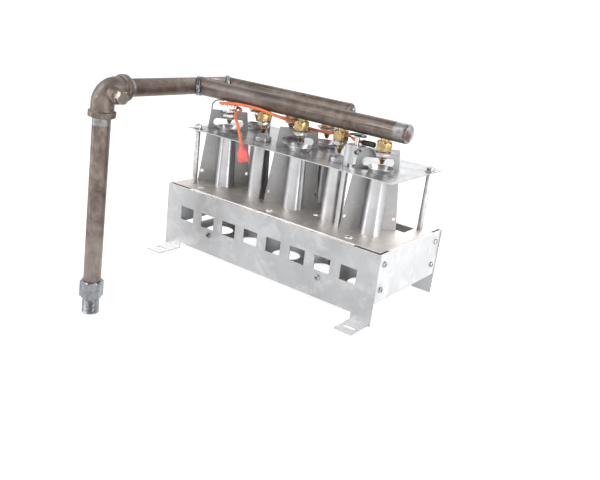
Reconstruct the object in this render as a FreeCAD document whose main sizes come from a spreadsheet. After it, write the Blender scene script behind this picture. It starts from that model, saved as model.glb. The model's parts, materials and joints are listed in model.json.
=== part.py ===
import FreeCAD, Part
import math
import os
import re
import Sketcher

# Gas burner assembly: a sheet-metal burner box on four slotted feet, eight vertical venturi tubes,
# tapered orifice brackets, a welded steel-pipe manifold above them and a drop leg that feeds it.
# Millimetres, +Z up. X runs along the box and the front panel faces -Y. The origin is the centre
# of the pattern of foot slots, on the plane that the feet stand on.

Vector = FreeCAD.Vector
Rotation = FreeCAD.Rotation
doc = FreeCAD.newDocument("burner_assembly")
sheet = doc.addObject("Spreadsheet::Sheet", "sizes")

DIMENSIONS = {
    # burner box
    "box_length": 396, "box_depth": 183.4, "box_top": 103, "gauge": 1.2,
    "skirt_bottom": 10.4, "leg_width": 32, "foot_width": 28, "foot_inset": 3, "foot_reach": 42,
    "slot_length": 19, "slot_width": 7, "slot_reach": 24,
    "lip_length": 307, "lip_depth": 13, "side_flange": 24, "end_bottom": 32, "end_inset": 1,
    "window_pitch": 43.7, "window_width": 26.5, "window_height": 22, "window_middle": 61.5,
    # screws of the box
    "front_screw_x": 105, "front_screw_z": 40.8, "end_screw_inset": 15, "end_screw_low": 50,
    "end_screw_high": 87, "screw_hole": 2.2, "screw_shank": 2, "screw_head": 4.4,
    "screw_head_height": 2.6, "screw_length": 9,
    # plates
    "deck_depth": 172, "deck_length": 386, "deck_boss_x": -8, "deck_boss_y": -69,
    "deck_boss_radius": 6, "deck_boss_bore": 4, "deck_boss_height": 1.4,
    "deck_vent_x": -26, "deck_vent_radius": 4.5, "sight_x": 155, "sight_y": 38,
    "sight_width": 30, "sight_depth": 32,
    "burner_plate_top": 26.5, "port_hole": 22, "plate_flange": 22,
    "mixing_under": 191.5, "mixing_left": -188, "mixing_right": 184, "mixing_front": -68,
    "mixing_rear": 88, "mixing_hole": 16.6, "plain_hole": 14.4,
    # jets
    "jet_pitch": 70.3, "front_row": -24.4, "rear_row": 45.9,
    "tube_foot": 16, "tube_throat": 12.5, "tube_wall": 1, "tube_drop": 11, "bell_rim": 19,
    "bell_top": 200, "throat_top": 183.5, "plain_rim": 13.7, "plain_top": 199,
    "hole_clearance": 0.1, "port_ring_bore": 9, "port_ring_height": 8,
    # orifice brackets
    "bracket_back": 17, "bracket_half_foot": 42.4, "bracket_half_top": 29, "bracket_top": 222.3,
    "bracket_gauge": 1.5, "opening_half": 24, "opening_z": 203, "opening_radius": 6,
    "mouth_relief": 9.5, "mouth_relief_z": 200, "bracket_hole_half": 36.7,
    "bracket_hole_z": 121.2, "bracket_hole_radius": 2.6, "tab_half": 15, "tab_front": 14,
    "bracket_flange_half": 18, "bracket_flange_depth": 12, "bracket_slot_half": 34,
    # orifices
    "orifice_bore": 0.9, "orifice_tip": 205, "orifice_thread": 6, "orifice_flats": 20.6,
    "orifice_hex_top": 237, "locknut_flats": 19, "locknut_height": 5.5,
    # manifold of 3/4 inch steel pipe
    "pipe_outer": 13.35, "pipe_inner": 10.45, "manifold_z": 252.5, "front_arm_end": 171,
    "rear_arm_end": 34, "feed_x": -214, "elbow_y": -213, "elbow_arm": 40, "elbow_radius": 17,
    "elbow_bend": 22, "band_radius": 20, "band_width": 9, "engagement": 14, "drop_lean": 3,
    "drop_length": 286, "cap_height": 5, "bead": 2.2, "bead_width": 6,
    # inlet adapter and elbow plug
    "adapter_flats": 32, "adapter_hex": 29, "adapter_thread": 13.2, "adapter_length": 26,
    "adapter_bore": 8, "plug_boss": 11.5, "plug_flats": 18, "boss_reach": 25, "plug_reach": 37,
    # stand-off rods
    "rod": 3, "pillar": 4.2, "rod_left_x": -174, "rod_left_y": -59, "rod_right_x": 177, "rod_right_y": 57,
    "rod_top": 201, "rod_nut_flats": 11, "rod_nut_height": 5, "washer": 8, "washer_height": 1,
    # pilot: channel, gas tube, electrode and collar plate
    "pilot_x": 93.8, "pilot_y": -39.7, "channel_width": 7.2, "channel_depth": 6.6,
    "channel_gauge": 0.8, "pilot_shelf": 222.8, "pilot_shelf_right": 113,
    "pilot_shelf_rear": -20.5, "pilot_tab_low": 209, "pilot_tongue_low": 197,
    "pilot_tongue_right": 105, "pilot_tube": 2, "pilot_low": 66,
    "pilot_burner": 6, "pilot_burner_low": 44, "electrode_x": 109, "electrode_y": -24,
    "ceramic": 3.2, "electrode_pin": 1.2, "electrode_low": 50, "collar_x": 102.6,
    "collar_y": -33.7, "collar_under": 234.8, "collar_radius": 13.5, "collar_neck": 3.5,
    "pilot_screw_x": 102.5, "pilot_screw_y": -30, "tab_screw_x": 110, "tab_screw_z": 217,
    # ignition lead
    "lead": 2.25, "sleeve": 3.9, "sleeve_left": 106, "sleeve_length": 21, "sleeve_y": -25.5,
    "sleeve_z": 227.9, "boot": 8.5, "boot_length": 27, "boot_neck": 4, "ground_wire": 0.9,
}
for row, (alias, number) in enumerate(DIMENSIONS.items(), start=1):
    sheet.set(f"A{row}", alias)
    sheet.set(f"B{row}", str(number))
    sheet.setAlias(f"B{row}", alias)
doc.recompute()
SIZE = {alias: float(sheet.get(alias)) for alias in DIMENSIONS}
DOWN_X = Rotation(Vector(0, 1, 0), 90)
ALONG_Y = Rotation(Vector(1, 0, 0), -90)
UPRIGHT = Rotation()
SUBPARTS = []


def bound(expression):
    """The expression with each alias written as a reference to the sheet."""
    return re.sub(r"[a-z_]+", lambda word: f"sizes.{word[0]}" if word[0] in SIZE else word[0],
                  str(expression))


def bind(target, **expressions):
    """Bind properties of a document object to expressions of sheet aliases."""
    for name, expression in expressions.items():
        target.setExpression(name, bound(expression))
    return target


def place(target, x="0", y="0", z="0", rotation=UPRIGHT):
    """Give an object its rotation, and bind its position to the sheet."""
    target.Placement = FreeCAD.Placement(Vector(), rotation)
    for axis, expression in zip("xyz", (x, y, z)):
        target.setExpression(f"Placement.Base.{axis}", bound(expression))
    return target


def box(name, corner, span):
    """Block from its lowest corner and its three spans, all as expressions."""
    block = doc.addObject("Part::Box", name)
    bind(block, Length=span[0], Width=span[1], Height=span[2])
    return place(block, *corner)


def cylinder(name, radius, height, base, rotation=UPRIGHT):
    """Round bar from the centre of its base; the rotation turns it from +Z."""
    bar = doc.addObject("Part::Cylinder", name)
    bind(bar, Radius=radius, Height=height)
    return place(bar, *base, rotation=rotation)


def cone(name, radius_low, radius_high, height, base, rotation=UPRIGHT):
    frustum = doc.addObject("Part::Cone", name)
    bind(frustum, Radius1=radius_low, Radius2=radius_high, Height=height)
    return place(frustum, *base, rotation=rotation)


def hexagon(name, flats, height, base, rotation=UPRIGHT):
    """Hexagonal bar of the given width across flats."""
    prism = doc.addObject("Part::Prism", name)
    prism.Polygon = 6
    bind(prism, Circumradius=f"({flats}) / sqrt(3)", Height=height)
    return place(prism, *base, rotation=rotation)


def fuse(name, pieces):
    joined = doc.addObject("Part::MultiFuse", name)
    joined.Shapes = pieces
    joined.Refine = True
    return joined


def group(name, pieces):
    """Separate solids of one node."""
    together = doc.addObject("Part::Compound", name)
    together.Links = pieces
    return together


def cut(name, base, tools):
    """The base less all the tools."""
    result = doc.addObject("Part::Cut", name)
    result.Base = base
    result.Tool = tools[0] if len(tools) == 1 else fuse(f"{name}_tools", tools)
    return result


def subpart(target, label):
    """Name a finished sub-part, which becomes one file."""
    target.Label = label
    SUBPARTS.append(target)
    return target


def sketch_on(body, role, loops):
    """Sketch of closed outlines. A corner is a pair of expressions, fixed from the origin; a loop
    that starts with the word circle gives its centre and radius."""
    sketch = body.newObject("Sketcher::SketchObject", f"{body.Name}_sketch")
    plane = [item for item in body.Origin.OriginFeatures if item.Role == role][0]
    sketch.AttachmentSupport = [(plane, "")]
    sketch.MapMode = "FlatFace"
    for loop in loops:
        first = len(sketch.Geometry)
        if loop[0] == "circle":
            sketch.addGeometry(Part.Circle(Vector(1, 1, 0), Vector(0, 0, 1), 1))
            fix_point(sketch, first, 3, loop[1], loop[2])
            radius = sketch.addConstraint(Sketcher.Constraint("Radius", first, 1))
            sketch.setExpression(f"Constraints[{radius}]", bound(loop[3]))
            continue
        count = len(loop)
        for index in range(count):
            start, end = (math.tau * step / count for step in (index, index + 1))
            sketch.addGeometry(Part.LineSegment(Vector(math.cos(start), math.sin(start), 0),
                                                Vector(math.cos(end), math.sin(end), 0)))
        for index, corner in enumerate(loop):
            after = (index + 1) % count
            sketch.addConstraint(
                Sketcher.Constraint("Coincident", first + index, 2, first + after, 1))
            fix_point(sketch, first + index, 1, *corner)
    return sketch


def fix_point(sketch, geometry, vertex, x, y):
    """Fix a sketch point by its distances from the origin, or on an axis where that is zero."""
    for kind, axis, expression in (("DistanceX", -2, x), ("DistanceY", -1, y)):
        if expression == "0":
            sketch.addConstraint(Sketcher.Constraint("PointOnObject", geometry, vertex, axis))
            continue
        number = sketch.addConstraint(Sketcher.Constraint(kind, -1, 1, geometry, vertex, 1))
        sketch.setExpression(f"Constraints[{number}]", bound(expression))


def turned(name, outline, base=("0", "0", "0"), rotation=UPRIGHT):
    """Body of revolution about its own Z axis, from an outline of radius and height."""
    body = doc.addObject("PartDesign::Body", name)
    sketch = sketch_on(body, "XZ_Plane", [outline])
    revolution = body.newObject("PartDesign::Revolution", f"{name}_turned")
    revolution.Profile = sketch
    revolution.ReferenceAxis = (sketch, ["V_Axis"])
    revolution.Angle = 360
    return place(body, *base, rotation=rotation)


def padded(name, loops, thickness, base=("0", "0", "0"), rotation=UPRIGHT):
    """Plate of the given outline, lying on its own XY plane."""
    body = doc.addObject("PartDesign::Body", name)
    sketch = sketch_on(body, "XY_Plane", loops)
    pad = body.newObject("PartDesign::Pad", f"{name}_pad")
    pad.Profile = sketch
    bind(pad, Length=thickness)
    return place(body, *base, rotation=rotation)


def jet_x(column):
    """X of a jet; column 0 is the middle one."""
    return f"({column} * jet_pitch)"


FRONT_COLUMNS = {1: -2, 2: -1, 3: 0, 4: 1, 5: 2}
REAR_COLUMNS = {1: -2, 2: -1, 3: 0}
JETS = [(f"front_{number}", column, "front_row") for number, column in FRONT_COLUMNS.items()]
JETS += [(f"rear_{number}", column, "rear_row") for number, column in REAR_COLUMNS.items()]
PLAIN_JETS = ("front_2", "front_4")
DECK_TOP = "(box_top + gauge)"


# --- burner box ---------------------------------------------------------------------------------

def long_panel(name):
    """Front panel: windowed face, top lip, side flanges, two legs and their slotted feet."""
    face_y = "-box_depth / 2"
    pieces = [
        box(f"{name}_face", ("-box_length / 2", face_y, "skirt_bottom"),
            ("box_length", "gauge", "box_top - skirt_bottom")),
        box(f"{name}_lip", ("-lip_length / 2", face_y, "box_top - gauge"),
            ("lip_length", "lip_depth", "gauge")),
    ]
    for side, sign in (("left", -1), ("right", 1)):
        leg_x = "-box_length / 2" if sign < 0 else "box_length / 2 - leg_width"
        foot_x = "-box_length / 2 + foot_inset"
        flange_x = "-box_length / 2 + end_inset + gauge"
        if sign > 0:
            foot_x = "box_length / 2 - foot_inset - foot_width"
            flange_x = "box_length / 2 - end_inset - 2 * gauge"
        pieces += [
            box(f"{name}_leg_{side}", (leg_x, face_y, "0"), ("leg_width", "gauge", "skirt_bottom")),
            box(f"{name}_foot_{side}", (foot_x, f"{face_y} - foot_reach", "0"),
                ("foot_width", "foot_reach + gauge", "gauge")),
            box(f"{name}_flange_{side}", (flange_x, face_y, "end_bottom"),
                ("gauge", "side_flange", "box_top - gauge - end_bottom")),
        ]
    return cut(name, fuse(f"{name}_sheet", pieces), long_panel_openings(name, face_y))


def long_panel_openings(name, face_y):
    """Windows, screw holes and foot slots of a long panel."""
    tools = []
    for window in range(8):
        middle = f"{window - 3.5} * window_pitch"
        tools.append(box(f"{name}_window_{window}",
                         (f"{middle} - window_width / 2", f"{face_y} - 1",
                          "window_middle - window_height / 2"),
                         ("window_width", "gauge + 2", "window_height")))
    for side, sign in (("left", "-"), ("right", "")):
        tools.append(cylinder(f"{name}_screw_hole_{side}", "screw_hole", "gauge + 2",
                              (f"{sign}front_screw_x", f"{face_y} - 1", "front_screw_z"), ALONG_Y))
        for level in ("low", "high"):
            tools.append(cylinder(f"{name}_flange_hole_{side}_{level}", "screw_hole", "16",
                                  (f"{sign}(box_length / 2 - 5) - 8",
                                   f"{face_y} + end_screw_inset", f"end_screw_{level}"), DOWN_X))
        tools += slot(f"{name}_slot_{side}", f"{sign}((box_length - foot_width) / 2 - foot_inset)",
                      f"{face_y} - slot_reach")
    return tools


def slot(name, x, y):
    """Round-ended slot along X through a foot."""
    half = "(slot_length - slot_width) / 2"
    return [
        box(f"{name}_middle", (f"{x} - {half}", f"{y} - slot_width / 2", "-1"),
            (f"2 * {half}", "slot_width", "gauge + 2")),
        cylinder(f"{name}_start", "slot_width / 2", "gauge + 2", (f"{x} - {half}", y, "-1")),
        cylinder(f"{name}_end", "slot_width / 2", "gauge + 2", (f"{x} + {half}", y, "-1")),
    ]


def end_panel(name, sign):
    """End panel outside the side flanges, with a top lip under the deck."""
    outer = "(box_length / 2 - end_inset)"
    face_x = f"-{outer}" if sign < 0 else f"{outer} - gauge"
    lip_x = f"-{outer}" if sign < 0 else f"{outer} - lip_depth"
    depth = "(box_depth - 2 * gauge)"
    sheets = fuse(f"{name}_sheet", [
        box(f"{name}_face", (face_x, f"-{depth} / 2", "end_bottom"),
            ("gauge", depth, "box_top - end_bottom")),
        box(f"{name}_lip", (lip_x, "-box_depth / 2 + side_flange + 2", "box_top - gauge"),
            ("lip_depth", "box_depth - 2 * side_flange - 4", "gauge")),
    ])
    holes = []
    for place_name, side in (("front", "-"), ("rear", "")):
        for level in ("low", "high"):
            holes.append(cylinder(f"{name}_hole_{place_name}_{level}", "screw_hole", "10",
                                  (f"{face_x} - 5", f"{side}(box_depth / 2 - end_screw_inset)",
                                   f"end_screw_{level}"), DOWN_X))
    return cut(name, sheets, holes)


def deck_plate():
    """Top plate of the box: jet holes, raised bosses, vents, sight opening and pilot holes."""
    plate = box("deck_blank", ("-deck_length / 2", "-deck_depth / 2", "box_top"),
                ("deck_length", "deck_depth", "gauge"))
    bosses, tools = [], []
    for number in (1, 3, 5):
        x = f"{jet_x(FRONT_COLUMNS[number])} + deck_boss_x"
        bosses.append(cone(f"deck_boss_{number}", "deck_boss_radius", "deck_boss_radius - 1",
                           "gauge + deck_boss_height", (x, "deck_boss_y", "box_top")))
        tools.append(cylinder(f"deck_boss_bore_{number}", "deck_boss_bore",
                              "gauge + deck_boss_height + 2", (x, "deck_boss_y", "box_top - 1")))
    for number in (2, 4):
        tools.append(cylinder(f"deck_vent_{number}", "deck_vent_radius", "gauge + 2",
                              (f"{jet_x(FRONT_COLUMNS[number])} + deck_vent_x", "front_row",
                               "box_top - 1")))
    for name, column, line in JETS:
        tools.append(cylinder(f"deck_hole_{name}", "tube_foot + hole_clearance", "gauge + 2",
                              (jet_x(column), line, "box_top - 1")))
    tools.append(box("deck_sight", ("sight_x - sight_width / 2", "sight_y - sight_depth / 2",
                                    "box_top - 1"), ("sight_width", "sight_depth", "gauge + 2")))
    for name, x, y, radius in pilot_lines():
        tools.append(cylinder(f"deck_{name}_hole", f"{radius} + 0.3", "gauge + 2",
                              (x, y, "box_top - 1")))
    for name, x, y in RODS:
        tools.append(cylinder(f"deck_rod_hole_{name}", "rod", "gauge + 2",
                              (x, y, "box_top - 1")))
    return cut("deck", fuse("deck_raised", [plate] + bosses), tools)


def pilot_lines():
    """The two upright lines of the pilot: its gas tube and its electrode."""
    return (("pilot_tube", "pilot_x", "pilot_y", "pilot_tube"),
            ("electrode", "electrode_x", "electrode_y", "ceramic"))


def burner_plate():
    """Tray near the foot of the box: a round port under each jet, and two screwed flanges."""
    depth = "(box_depth - 2 * gauge)"
    pieces = [box("tray_floor", ("-box_length / 2 + 8", f"-{depth} / 2",
                                 "burner_plate_top - gauge"),
                  ("box_length - 16", depth, "gauge"))]
    tools = []
    for side, sign in (("front", "-"), ("rear", "")):
        flange_y = f"-{depth} / 2" if sign else f"{depth} / 2 - gauge"
        pieces.append(box(f"tray_flange_{side}", ("-box_length / 2 + 8", flange_y,
                                                  "burner_plate_top - gauge"),
                          ("box_length - 16", "gauge", "plate_flange")))
        for end, side_sign in (("left", "-"), ("right", "")):
            tools.append(cylinder(f"tray_hole_{side}_{end}", "screw_hole", "gauge + 2",
                                  (f"{side_sign}front_screw_x", f"{flange_y} - 1",
                                   "front_screw_z"), ALONG_Y))
    for name, column, line in JETS:
        tools.append(cylinder(f"tray_port_{name}", "port_hole", "gauge + 2",
                              (jet_x(column), line, "burner_plate_top - gauge - 1")))
    return cut("tray", fuse("tray_sheet", pieces), tools)


def mixing_plate():
    """Thin plate round the mouths of the tubes, slotted where the brackets pass through it."""
    plate = box("mixing_blank", ("mixing_left", "mixing_front", "mixing_under"),
                ("mixing_right - mixing_left", "mixing_rear - mixing_front", "gauge"))
    tools = []
    for name, column, line in JETS:
        mouth = "plain_hole" if name in PLAIN_JETS else "mixing_hole"
        tools.append(cylinder(f"mixing_hole_{name}", mouth, "gauge + 2",
                              (jet_x(column), line, "mixing_under - 1")))
    for name, column, line, angle in BRACKETS:
        passage = box(f"mixing_slot_{name}", ("0", "0", "0"),
                      ("2 * bracket_slot_half", "bracket_gauge + 1.2", "gauge + 2"))
        corner_x, corner_y = bracket_point(angle, "-bracket_slot_half", "bracket_back - 0.6")
        place(passage, f"{jet_x(column)} + {corner_x}", f"{line} + {corner_y}",
              "mixing_under - 1", Rotation(Vector(0, 0, 1), angle))
        tools.append(passage)
    for name, x, y in RODS:
        tools.append(cylinder(f"mixing_rod_hole_{name}", "rod + 0.2", "gauge + 2",
                              (x, y, "mixing_under - 1")))
    tools.append(box("mixing_channel_notch",
                     ("pilot_x - channel_width / 2 - 1", "pilot_y - channel_depth / 2 - 1",
                      "mixing_under - 1"), ("channel_width + 2", "channel_depth + 2", "gauge + 2")))
    tools.append(cylinder("mixing_electrode_hole", "ceramic + 1.2", "gauge + 2",
                          ("electrode_x", "electrode_y", "mixing_under - 1")))
    tools.append(cylinder("mixing_screw_hole", "screw_hole", "gauge + 2",
                          ("pilot_screw_x", "pilot_screw_y", "mixing_under - 1")))
    return cut("mixing", plate, tools)


# --- jets ---------------------------------------------------------------------------------------

def venturi_tube(name, column, line):
    """Venturi tube: collar through the deck, cone that narrows upwards, flared or plain mouth."""
    foot = "box_top - tube_drop"
    shoulder = "box_top + gauge + 2"
    if name in PLAIN_JETS:
        mouth = [("tube_throat", "throat_top + 6"), ("plain_rim", "throat_top + 9"),
                 ("plain_rim", "plain_top"), ("plain_rim - tube_wall", "plain_top"),
                 ("plain_rim - tube_wall", "throat_top + 9.2"),
                 ("tube_throat - tube_wall", "throat_top + 6.2")]
    else:
        mouth = [("tube_throat", "throat_top"), ("tube_throat + 1.1", "throat_top + 4"),
                 ("tube_throat + 3", "throat_top + 8.5"), ("bell_rim - 1.6", "bell_top - 3.2"),
                 ("bell_rim", "bell_top - 1.2"), ("bell_rim", "bell_top"),
                 ("bell_rim - 1", "bell_top"), ("bell_rim - 2.6", "bell_top - 2.4"),
                 ("tube_throat + 2", "throat_top + 9"), ("tube_throat + 0.1", "throat_top + 4.3"),
                 ("tube_throat - tube_wall", "throat_top")]
    outline = [("tube_foot", foot), ("tube_foot", shoulder)] + mouth
    outline += [("tube_foot - tube_wall", shoulder), ("tube_foot - tube_wall", foot)]
    return subpart(turned(f"tube_{name}", outline, (jet_x(column), line, "0")),
                   f"venturi_tube_{name}")


def port_ring(name, column, line):
    """Flame-retention ring pressed into the lower end of a tube."""
    low = "box_top - tube_drop"
    return turned(f"ring_{name}", [
        ("port_ring_bore", low), ("tube_foot - tube_wall", low),
        ("tube_foot - tube_wall", f"{low} + port_ring_height"),
        ("port_ring_bore + 3", f"{low} + port_ring_height")], (jet_x(column), line, "0"))


def orifice(name, column, line):
    """Threaded orifice: tapered tip, threaded body, hexagon, and a neck into the pipe wall."""
    centre = (jet_x(column), line)
    body = fuse(f"orifice_body_{name}", [
        cone(f"orifice_tip_{name}", "2.4", "orifice_thread - 1", "7", (*centre, "orifice_tip")),
        cylinder(f"orifice_stem_{name}", "orifice_thread", "bracket_top - orifice_tip - 6.9",
                 (*centre, "orifice_tip + 6.9")),
        hexagon(f"orifice_hex_{name}", "orifice_flats", "orifice_hex_top - bracket_top",
                (*centre, "bracket_top")),
        cylinder(f"orifice_neck_{name}", "orifice_thread", "manifold_z - 11 - orifice_hex_top",
                 (*centre, "orifice_hex_top")),
    ])
    bores = [
        cylinder(f"orifice_jet_{name}", "orifice_bore", "10", (*centre, "orifice_tip - 1")),
        cylinder(f"orifice_well_{name}", "3.2", "manifold_z - orifice_tip - 6",
                 (*centre, "orifice_tip + 8")),
    ]
    return subpart(cut(f"orifice_{name}_solid", body, bores), f"orifice_{name}")


def locknut(name, column, line, held):
    """Locknut under a bracket's tab, or under the hexagon where there is no bracket."""
    top = "bracket_top - bracket_gauge" if held else "bracket_top"
    centre = (jet_x(column), line)
    base = f"{top} - locknut_height"
    return cut(f"locknut_{name}",
               hexagon(f"locknut_hex_{name}", "locknut_flats", "locknut_height", (*centre, base)),
               [cylinder(f"locknut_bore_{name}", "orifice_thread", "locknut_height + 2",
                         (*centre, f"{base} - 1"))])


BRACKETS = [(f"front_{number}", FRONT_COLUMNS[number], "front_row", 45) for number in (1, 3, 5)]
BRACKETS += [(f"rear_{number}", REAR_COLUMNS[number], "rear_row", -45) for number in (1, 2, 3)]


def bracket_point(angle, along, back):
    """Plan offset of a bracket's point from its jet: along the plate, and back from the jet."""
    turn = f"{angle}"
    return (f"(({along}) * cos({turn}) - ({back}) * sin({turn}))",
            f"(({along}) * sin({turn}) + ({back}) * cos({turn}))")


def orifice_bracket(name, column, line, angle):
    """Tapered upright plate behind a jet, with a tab that holds its orifice and a foot flange."""
    outline = [("-bracket_half_foot", "0"),
               ("bracket_half_foot", "0"),
               ("bracket_half_top", f"bracket_top - {DECK_TOP}"),
               ("-bracket_half_top", f"bracket_top - {DECK_TOP}")]
    hole_z = f"bracket_hole_z - {DECK_TOP}"
    holes = [("circle", "-bracket_hole_half", hole_z, "bracket_hole_radius"),
             ("circle", "bracket_hole_half", hole_z, "bracket_hole_radius")]
    plate = padded(f"bracket_plate_{name}", [outline] + holes, "bracket_gauge",
                   ("0", "bracket_back + bracket_gauge", "0"), Rotation(Vector(1, 0, 0), 90))
    opening_z = f"opening_z - {DECK_TOP}"
    tab_z = f"bracket_top - bracket_gauge - {DECK_TOP}"
    tab = box(f"bracket_tab_{name}", ("-tab_half", "-tab_front", tab_z),
              ("2 * tab_half", "tab_front + bracket_back + 0.5", "bracket_gauge"))
    flange = box(f"bracket_flange_{name}", ("-bracket_flange_half", "bracket_back + 0.5", "0"),
                 ("2 * bracket_flange_half", "bracket_flange_depth", "bracket_gauge"))
    half = "(opening_half - opening_radius)"
    through = ("bracket_back - 2", "bracket_gauge + 4")
    tools = [
        box(f"bracket_opening_{name}", (f"-{half}", through[0], f"{opening_z} - opening_radius"),
            (f"2 * {half}", through[1], "2 * opening_radius")),
        cylinder(f"bracket_mouth_{name}", "mouth_relief", through[1],
                 ("0", through[0], f"mouth_relief_z - {DECK_TOP}"), ALONG_Y),
        cylinder(f"bracket_bore_{name}", "orifice_thread + 0.1", "bracket_gauge + 2",
                 ("0", "0", f"{tab_z} - 1")),
    ]
    for side, sign in (("left", "-"), ("right", "")):
        tools.append(cylinder(f"bracket_opening_{side}_{name}", "opening_radius", through[1],
                              (f"{sign}{half}", through[0], opening_z), ALONG_Y))
    bracket = cut(f"bracket_{name}", fuse(f"bracket_sheet_{name}", [plate, tab, flange]), tools)
    place(bracket, jet_x(column), line, DECK_TOP, Rotation(Vector(0, 0, 1), angle))
    return subpart(bracket, f"bracket_{name}")


# --- manifold -----------------------------------------------------------------------------------

def along_x(name, radius, start, end, y):
    """Bar along the arms of the manifold."""
    return cylinder(name, radius, f"({end}) - ({start})", (start, y, "manifold_z"), DOWN_X)


def along_y(name, radius, start, end):
    """Bar along the feed pipe."""
    return cylinder(name, radius, f"({end}) - ({start})", ("feed_x", start, "manifold_z"), ALONG_Y)


def diagonal_block(name, y, turn, first, span, half_width):
    """Block that starts a distance along a diagonal of a joint, centred across that diagonal."""
    block = doc.addObject("Part::Box", name)
    bind(block, Length=span, Width=f"2 * {half_width}", Height="60")
    dx, dy = bracket_point(turn, first, f"-{half_width}")
    return place(block, f"feed_x + {dx}", f"{y} + {dy}", "manifold_z - 30",
                 Rotation(Vector(0, 0, 1), turn))


def mitred_corner(name, radius, feed_start, arm_end):
    """The feed pipe's end and the rear arm's start, each cut at the 45 degree plane."""
    feed = cut(f"{name}_feed", along_y(f"{name}_feed_bar", radius, feed_start, "rear_row + 25"),
               [diagonal_block(f"{name}_feed_trim", "rear_row", 45, "0", "60", "60")])
    arm = cut(f"{name}_arm", along_x(f"{name}_arm_bar", radius, "feed_x - 25", arm_end, "rear_row"),
              [diagonal_block(f"{name}_arm_trim", "rear_row", 45, "-60", "60", "60")])
    return feed, arm


def jet_holes(name, columns, line):
    """Holes in the underside of an arm for the necks of its orifices."""
    return [cylinder(f"{name}_hole_{number}", "orifice_thread", "16",
                     (jet_x(column), line, "manifold_z - 16"))
            for number, column in columns.items()]


def manifold():
    """Feed pipe, two arms, their end caps and the weld beads of the two joints."""
    feed_start = "elbow_y + elbow_arm - engagement"
    feed, rear_arm = mitred_corner("corner", "pipe_outer", feed_start, "rear_arm_end")
    subpart(cut("feed", feed, [
        along_y("feed_bore", "pipe_inner", f"{feed_start} - 1", "rear_row + 25"),
        along_x("feed_branch_bore", "pipe_inner", "feed_x", "feed_x + 20", "front_row"),
    ]), "feed_pipe")
    rear_bore = along_x("rear_bore", "pipe_inner", "feed_x - 25", "rear_arm_end + 1", "rear_row")
    subpart(cut("rear_arm", rear_arm, [rear_bore] + jet_holes("rear_arm", REAR_COLUMNS,
                                                             "rear_row")), "rear_arm_pipe")
    front_bar = along_x("front_bar", "pipe_outer", "feed_x", "front_arm_end", "front_row")
    front_bore = along_x("front_bore", "pipe_inner", "feed_x - 1", "front_arm_end + 1",
                         "front_row")
    cope = along_y("front_cope", "pipe_outer", "front_row - 40", "front_row + 40")
    subpart(cut("front_arm", front_bar, [front_bore, cope] + jet_holes("front_arm", FRONT_COLUMNS,
                                                                      "front_row")),
            "front_arm_pipe")
    for name, end, line in (("front", "front_arm_end", "front_row"),
                            ("rear", "rear_arm_end", "rear_row")):
        outline = [("0", "0"), ("pipe_outer", "0"), ("pipe_outer + 0.4", "1"),
                   ("pipe_outer - 1", "3"), ("pipe_outer * 0.7", "cap_height"),
                   ("0", "cap_height + 1")]
        subpart(turned(f"{name}_cap", outline, (end, line, "manifold_z"), DOWN_X),
                f"{name}_end_cap")
    subpart(group("beads", [mitre_bead(), branch_bead()]), "weld_beads")


def mitre_bead():
    """Bead round the outside of the mitred rear corner."""
    fat = mitred_corner("fat", "pipe_outer + bead", "rear_row - 45", "feed_x + 45")
    inner = mitred_corner("bare", "pipe_outer", "rear_row - 50", "feed_x + 50")
    band = doc.addObject("Part::Common", "mitre_band")
    band.Base = fuse("mitre_fat", list(fat))
    band.Tool = diagonal_block("mitre_slab", "rear_row", 135, "-60", "120", "bead_width / 2")
    return cut("mitre_bead", band, list(inner))


def branch_bead():
    """Bead along the two half ellipses where the front arm meets the feed pipe."""
    band = doc.addObject("Part::Common", "branch_band")
    band.Base = fuse("branch_fat", [
        along_x("branch_fat_arm", "pipe_outer + bead", "feed_x", "feed_x + 40", "front_row"),
        along_y("branch_fat_feed", "pipe_outer + bead", "front_row - 40", "front_row + 40")])
    band.Tool = fuse("branch_slabs", [
        diagonal_block(f"branch_slab_{turn}", "front_row", turn, "0", "40", "bead_width / 2")
        for turn in (45, -45)])
    return cut("branch_bead", band, [
        along_x("branch_arm", "pipe_outer", "feed_x - 1", "feed_x + 50", "front_row"),
        along_y("branch_feed", "pipe_outer", "front_row - 50", "front_row + 50")])


def bend(name, radius):
    """Quarter turn of the elbow, from the arm along +Y to the arm that points down."""
    quarter = doc.addObject("Part::Torus", name)
    quarter.Angle3 = 90
    bind(quarter, Radius1="elbow_bend", Radius2=radius)
    turn = Rotation(Vector(0, 0, 1), Vector(0, -1, 0), Vector(1, 0, 0), "XYZ")
    return place(quarter, "0", "elbow_bend", "-elbow_bend", turn)


def lean(target, label):
    """Stand a piece of the drop leg at the elbow's corner, leaning by the angle of the drop."""
    place(target, "feed_x", "elbow_y", "manifold_z", Rotation(Vector(0, 1, 0), SIZE["drop_lean"]))
    return subpart(target, label)


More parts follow.
